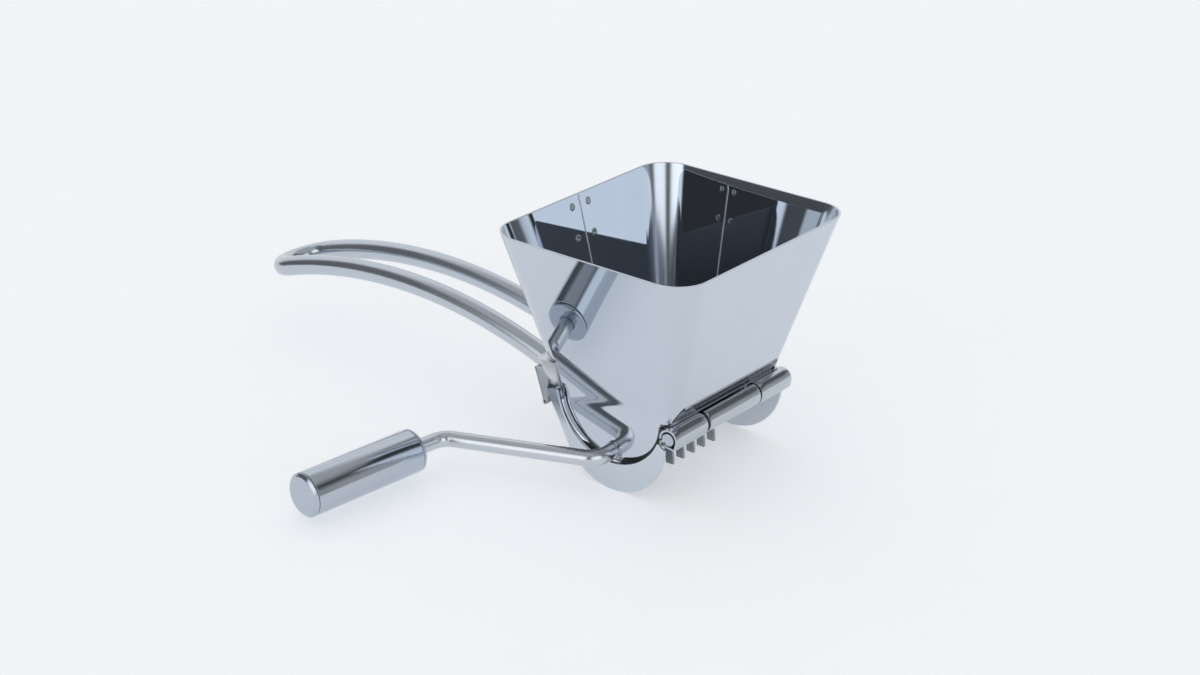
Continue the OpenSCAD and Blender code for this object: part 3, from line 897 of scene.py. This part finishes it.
# ---- cradle cheeks
HOLLOW = (0.2, 20.4, 24.05)


def cheek_outline():
    """Closed loop in (y, z), anticlockwise seen from +X (Y to the right, Z up)."""
    cy, cz, cr = -1.43, 9.31, 23.6
    hy, hz, hr = HOLLOW
    pts = []
    # outer circle from the front horn round the bottom to the rear
    for a in np.linspace(-178, -24, 110):
        pts.append((cy + cr * math.cos(math.radians(a)), cz + cr * math.sin(math.radians(a))))
    # rear: runs up to the back corner
    rear = [(21.9, 2.9), (23.2, 5.4), (24.3, 7.6), (25.4, 9.45), (26.6, 11.4), (27.7, 13.4), (28.35, 14.7), (28.55, 15.4)]
    pts += rear
    for a in np.linspace(0, 90, 9)[1:]:
        pts.append((26.6 + 2.0 * math.cos(math.radians(a)), 15.5 + 2.0 * math.sin(math.radians(a))))
    # top of the rear horn, then the hollow edge back to the front
    y0 = hy + math.sqrt(hr * hr - (17.5 - hz) ** 2)
    pts.append((max(y0 + 0.3, 22.9), 17.5))
    a0 = math.degrees(math.asin((17.2 - hz) / hr))
    for a in np.linspace(a0, -173, 120):
        q = (hy + hr * math.cos(math.radians(a)), hz + hr * math.sin(math.radians(a)))
        if q[1] > 10.3 and q[0] < 0:
            break
        pts.append(q)
    # front horn end, clear of the knuckle's end
    for a in np.linspace(-34, -72, 8):
        pts.append((PIN[0] + 4.05 * math.cos(math.radians(a)), PIN[1] + 4.05 * math.sin(math.radians(a))))
    return pts


def lip_path():
    """Outer and inner edge of the turned-in lip of a cheek, from the rear to the front: (x, y, z) with x as a distance."""
    hy, hz, hr = HOLLOW
    out = []
    for a in np.linspace(-7.0, -155.0, 150):
        c, sn = math.cos(math.radians(a)), math.sin(math.radians(a))
        rt = hr + 3.0
        lo, hi = 10.0, hr + 3.0
        for _ in range(40):
            mid = (lo + hi) / 2
            y, z = hy + mid * c, hz + mid * sn
            if abs(y - TY) < TA and z > tongue_z(y):
                lo = mid
            else:
                hi = mid
        rt = lo
        gap = max(hr - rt, 0.0)
        ya = abs(hy + hr * c)
        free = smooth((ya - 3.9) / 1.8) if hz + hr * sn < 0 else 1.0
        ri = hr - gap * free - (0.1 * free if gap > 0.1 else 0.0)
        wx = 0.42 + 1.0 * smooth(gap / 0.5) * free
        out.append(((34.56, hy + hr * c, hz + hr * sn), (34.56 - wx, hy + ri * c, hz + ri * sn)))
    for yo, zo, yi, zi in ((-21.72, 10.9, -19.75, 10.9), (-21.55, 11.7, -19.95, 11.7), (-21.5, 12.6, -20.15, 12.6), (-21.65, 13.7, -20.35, 13.7), (-22.05, 14.8, -20.5, 14.8), (-22.7, 15.7, -20.65, 15.7)):
        out.append(((34.4, yo, zo), (33.14, yi, zi)))
    return out


def lip_sheet(m, s, t=0.24):
    pth = lip_path()
    n = len(pth)
    g = []
    for i in range(n):
        a, b = np.array(pth[max(i - 1, 0)][0][1:]), np.array(pth[min(i + 1, n - 1)][0][1:])
        d = unit(b - a)
        nr = np.array([-d[1], d[0]])
        o, q = pth[i]
        row = []
        for (x, y, z), off in ((o, 0.0), (q, 0.0), (q, t), (o, t)):
            row.append((s * x, y + nr[0] * off, z + nr[1] * off))
        g.append(row)
    m.grid(g, close_v=True)
    for r in (g[0], g[-1]):
        b = len(m.v)
        m.v += [tuple(p) for p in r]
        m.f.append((b, b + 1, b + 2, b + 3))


CO = cheek_outline()
for s, nm in ((-1, "crank_side_cheek"), (1, "far_side_cheek")):
    m = Mesh()
    plate_x(m, CO, 34.6 if s > 0 else -35.58, 35.58 if s > 0 else -34.6, edge=0.14)
    make(nm + "_sheet", m.v, m.f, M_CHEEK, "cradle", angle=35, replaces=(nm,))
    # the turned-in lip along the hollow edge lies in the shade between cheek and tongue; its near-black colour is
    # painted shade
    m = Mesh()
    lip_sheet(m, s)
    make(nm + "_lip", m.v, m.f, M_PAINTED_SHADE, "cradle", angle=35)

# cradle back wall
m = Mesh()
bw = [(26.0, 11.45), (26.9, 13.1), (27.75, 14.6), (28.05, 15.3), (28.0, 16.0), (27.5, 16.75), (27.0, 16.6)]
strip_x(m, bw, 0.85, -34.58, 34.58, nx=8, edge=0.12)
make("cradle_back_sheet", m.v, m.f, M_CHEEK, "cradle", angle=35, replaces=("cradle_back_wall",))

# ---- strap round the rear of the hopper, bent from sheet with tight corners
def strap_ring(z, g, r):
    k = (z - THROAT) / (RIM - THROAT)
    w = 33.0 + 17.0 * k + g
    yb = 1.6 - 1.1 * k + (55.4 + 33.1 * k) / 2 + g
    pts = [(-w, y) for y in np.linspace(24.5, yb - r, 5)]
    pts += [(-w + r - r * math.cos(a), yb - r + r * math.sin(a)) for a in np.linspace(0, math.pi / 2, 13)[1:]]
    pts += [(x, yb) for x in np.linspace(-w + r, w - r, 25)[1:]]
    pts += [(w - r + r * math.sin(a), yb - r + r * math.cos(a)) for a in np.linspace(0, math.pi / 2, 13)[1:]]
    pts += [(w, y) for y in np.linspace(yb - r, 24.5, 5)[1:]]
    return [(x, y, z) for x, y in pts]


m = Mesh()
o0, o1 = 18.12, 28.48
ring = []
for z, ins in ((o0, 0.12), (o0 + 0.04, 0.04), (o0 + 0.14, 0.0), (o1 - 0.14, 0.0), (o1 - 0.04, 0.04), (o1, 0.12)):
    ring.append(strap_ring(z, 0.99 - ins, 2.0 - ins))
for z, ins in ((o1, 0.12), (o1 - 0.14, 0.0), (o0 + 0.14, 0.0), (o0, 0.12)):
    ring.append(strap_ring(z, 0.03 + ins, 1.1 + ins))
ring.append(ring[0])
m.grid(ring, flip=True)
for k, fl in ((0, True), (-1, False)):
    b = len(m.v)
    loop = [r[k] for r in ring[:-1]]
    m.v += loop
    m.f.append(tuple(range(b, b + len(loop)))[::-1] if fl else tuple(range(b, b + len(loop))))
# the strap's square corners are closed against the hopper's round ones, top and bottom
for z0, z1 in ((18.25, 18.6), (27.95, 28.38)):
    for sx in (1, -1):
        rings = []
        for z in (z0, z1):
            w = 33.0 + 17.0 * (z - THROAT) / (RIM - THROAT) + 0.5
            outer = [p for p in strap_ring(z, 0.5, 1.5) if p[0] < -w + 8.2 and p[1] > 24.4]
            inner = []
            for t in np.linspace(90, 0, 25):
                q, nn = at(("AC", t), z)
                inner.append((q[0] - nn[0] * 0.2, q[1] - nn[1] * 0.2, z))
            rings.append([(sx * x, y, zz) for x, y, zz in outer + inner])
        m.grid(rings, close_v=True)
        for r in rings:
            b = len(m.v)
            m.v += r
            m.f.append(tuple(range(b, b + len(r))))
make("bracket_strap", m.v, m.f, M_BRACKET, "hopper", angle=35, replaces=("rear_bracket",))

# ---- rear plate: sheet with side ears and a rolled lower lip
m = Mesh()
lip = [(30.6 + 0.72 * math.cos(math.radians(a)), 10.6 + 0.72 * math.sin(math.radians(a))) for a in np.linspace(10, -250, 40)]
plate = [(35.15, 23.55), (33.6, 18.95), (32.2, 14.8), (31.5, 12.7), (31.36, 12.1), (31.32, 11.5)]
strip_x(m, plate + lip, 0.54, -34.95, 34.95, nx=8, edge=0.1)
for sx in (-1, 1):
    ear = [(31.2, 11.35), (35.3, 23.2), (34.95, 23.55), (29.3, 23.55), (28.9, 18.4), (29.35, 17.4), (29.35, 11.35)]
    ear = bend_path([(30.2, 11.35)] + ear + [(30.2, 11.35)], 0.3, 4)
    plate_x(m, ear[:-1], sx * 34.5 - 0.45, sx * 34.5 + 0.45, edge=0.1)
make("latch_plate", m.v, m.f, M_PLATE, "hopper", angle=35, replaces=("handle_plate",))

# ---- welds inside the back wall
BN = unit([0, 1.0, -(16.55 - 1.1) / 60.1])


def back_in(x, z):
    return np.array([x, at(("C", 0.5), z)[0][1], z]) - BN * SHEET


m = Mesh()
sweep(m, [back_in(0, z) + BN * 0.06 for z in np.linspace(24.0, 77.3, 60)], 0.31, 20, cap0="flat", cap1="flat", chamfer=0.12)
make("weld_bead", m.v, m.f, M_WELD, "hopper", replaces=("weld_seam",))
m = Mesh()
for x in (-4.5, 4.5):
    for z in (62.5, 74.0):
        lathe(m, [(-0.1, 1.5), (0.02, 1.45), (0.07, 1.2), (0.10, 0.9), (0.06, 0.6), (0.05, 0.3), (0.05, 0.02)], back_in(x, z), -BN, 40)
make("weld_spots", m.v, m.f, M_SPOT, "hopper", angle=60, replaces=("spot_welds",))

# ---- CAD nodes that keep their shape and get the finished materials
KEEP = {
    "front_comb": M_SATIN, "rear_comb": M_SATIN, "crank_side_bush": M_CAP, "far_side_bush": M_CAP,
    "rotor_core": M_CORE, "front_blades": M_BLADE, "rear_blades": M_BLADE, "blade_spacers": M_CORE,
    "cross_pin": M_CORE, "shaft_ring": M_CAP, "spindle_collar": M_CAP,
}
for nm, mt in KEEP.items():
    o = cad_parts[nm]
    o.data.materials.clear()
    o.data.materials.append(mt)

# ---------------------------------------------------------------- stage, light, camera
scene = bpy.context.scene


def stage_mesh(name, verts, faces, mat):
    me = bpy.data.meshes.new(name)
    me.from_pydata(verts, [], faces)
    me.update()
    ob = bpy.data.objects.new(name, me)
    scene.collection.objects.link(ob)
    me.materials.append(mat)
    return ob


def paper(name, col, rough=0.9):
    mat, nt, b = nodes_of(name)
    tc = nt.nodes.new("ShaderNodeTexCoord")
    n = noise(nt, tc.outputs["Object"], 40.0, 4.0, 0.6)
    nt.links.new(ramp(nt, n.outputs["Fac"], [(0.3, tuple(c * 0.985 for c in col)), (0.7, col)]), b.inputs["Base Color"])
    b.inputs["Roughness"].default_value = rough
    b.inputs["Specular IOR Level"].default_value = 0.2
    return mat


floor_mat = paper("floor_paper", (0.885, 0.90, 0.92))
floor_bsdf = [n for n in floor_mat.node_tree.nodes if n.type == "BSDF_PRINCIPLED"][0]
floor_bsdf.inputs["Emission Color"].default_value = (0.965, 0.985, 1.0, 1)
floor_bsdf.inputs["Emission Strength"].default_value = 0.40
S = 4.0
stage_mesh("floor", [(-S, -S, 0), (S, -S, 0), (S, S, 0), (-S, S, 0)], [(0, 1, 2, 3)], floor_mat)

world = bpy.data.worlds.new("studio")
scene.world = world
world.use_nodes = True
wn = world.node_tree
bg = wn.nodes["Background"]
bg.inputs["Strength"].default_value = 1.0


def wmath(op, a, b=None, c=None):
    n = wn.nodes.new("ShaderNodeMath")
    n.operation = op
    for i, v in enumerate((a, b, c)):
        if v is None:
            continue
        if isinstance(v, (int, float)):
            n.inputs[i].default_value = v
        else:
            wn.links.new(v, n.inputs[i])
    return n.outputs[0]


def wstep(x, lo, hi):
    """0 below lo, 1 above hi, smooth between."""
    r = wn.nodes.new("ShaderNodeMapRange")
    r.interpolation_type = "SMOOTHSTEP"
    wn.links.new(x, r.inputs["Value"])
    r.inputs["From Min"].default_value = lo
    r.inputs["From Max"].default_value = hi
    return r.outputs["Result"]


# direction in degrees: azimuth from +Y towards +X, elevation from the floor
wtc = wn.nodes.new("ShaderNodeTexCoord")
wsep = wn.nodes.new("ShaderNodeSeparateXYZ")
wn.links.new(wtc.outputs["Generated"], wsep.inputs[0])
DEG = 180 / math.pi
w_el = wmath("MULTIPLY", wmath("ARCSINE", wsep.outputs["Z"]), DEG)
w_az = wmath("MULTIPLY", wmath("ARCTAN2", wsep.outputs["X"], wsep.outputs["Y"]), DEG)


def panel(az, half_az, el_lo, el_hi, soft_az, soft_el, level):
    """A soft rectangle of light on the studio wall."""
    d = wmath("ABSOLUTE", wmath("WRAP", wmath("SUBTRACT", w_az, az), -180.0, 180.0))
    fa = wmath("SUBTRACT", 1.0, wstep(d, half_az - soft_az, half_az + soft_az))
    lo = wstep(w_el, el_lo - soft_el, el_lo + soft_el)
    hi = wmath("SUBTRACT", 1.0, wstep(w_el, el_hi - soft_el, el_hi + soft_el))
    return wmath("MULTIPLY", wmath("MULTIPLY", fa, wmath("MULTIPLY", lo, hi)), level)


lights = [
    panel(38, 47, -30, 52, 8, 11, 0.86),        # pale sweep behind the object
    panel(-88, 23, -12, 41, 7, 14, 1.45),       # large soft box on the left
    panel(-154, 22, -30, 40, 4, 6, 1.35),       # second soft box beside the camera
    panel(130, 38, -30, 27, 14, 12, 0.42),      # grey wall on the right
    panel(0, 400, 48, 130, 8, 13, 0.46),        # ceiling
    panel(-34, 26, 4, 60, 10, 14, 0.10),        # dim room on the left behind
]
acc = 0.06
for l in lights:
    acc = wmath("ADD", acc, l)
tint = wn.nodes.new("ShaderNodeMix")
tint.data_type = "RGBA"
tint.blend_type = "MULTIPLY"
tint.inputs["Factor"].default_value = 1.0
wn.links.new(acc, tint.inputs[6])
tint.inputs[7].default_value = (0.965, 0.985, 1.0, 1)
lp = wn.nodes.new("ShaderNodeLightPath")
dome = wn.nodes.new("ShaderNodeMix")
dome.data_type = "RGBA"
wn.links.new(lp.outputs["Is Diffuse Ray"], dome.inputs["Factor"])
wn.links.new(tint.outputs[2], dome.inputs[6])
dome.inputs[7].default_value = (0.46, 0.465, 0.475, 1)
wn.links.new(dome.outputs[2], bg.inputs["Color"])


def area(name, loc, target, size, power, col=(1, 1, 1), size_y=None):
    l = bpy.data.lights.new(name, "AREA")
    l.energy = power
    l.color = col
    l.size = size
    if size_y:
        l.shape = "RECTANGLE"
        l.size_y = size_y
    o = bpy.data.objects.new(name, l)
    o.location = loc
    d = Vector(target) - Vector(loc)
    o.rotation_euler = d.to_track_quat("-Z", "Y").to_euler()
    scene.collection.objects.link(o)
    return o


key = area("top_soft", (0.05, 0.05, 1.7), (0.05, 0.05, 0), 3.0, 4, (1, 1, 1))
key.visible_glossy = False

cam_data = bpy.data.cameras.new("camera")
cam = bpy.data.objects.new("camera", cam_data)
scene.collection.objects.link(cam)
az, el, D = math.radians(-50.50635), math.radians(23.95827), 944.772
tgt = np.array([40.587, 66.912, 0.0])
pos = tgt + D * np.array([math.sin(az) * math.cos(el), -math.cos(az) * math.cos(el), math.sin(el)])
cam.location = Vector(W(pos))
cam.rotation_euler = (Vector(W(tgt)) - Vector(W(pos))).to_track_quat("-Z", "Y").to_euler()
cam_data.sensor_width = 36.0
cam_data.lens = 36.0 * 2385.788 / 1200.0
cam_data.clip_start = 0.01
scene.camera = cam
scene.view_settings.view_transform = "Standard"
scene.view_settings.look = "None"
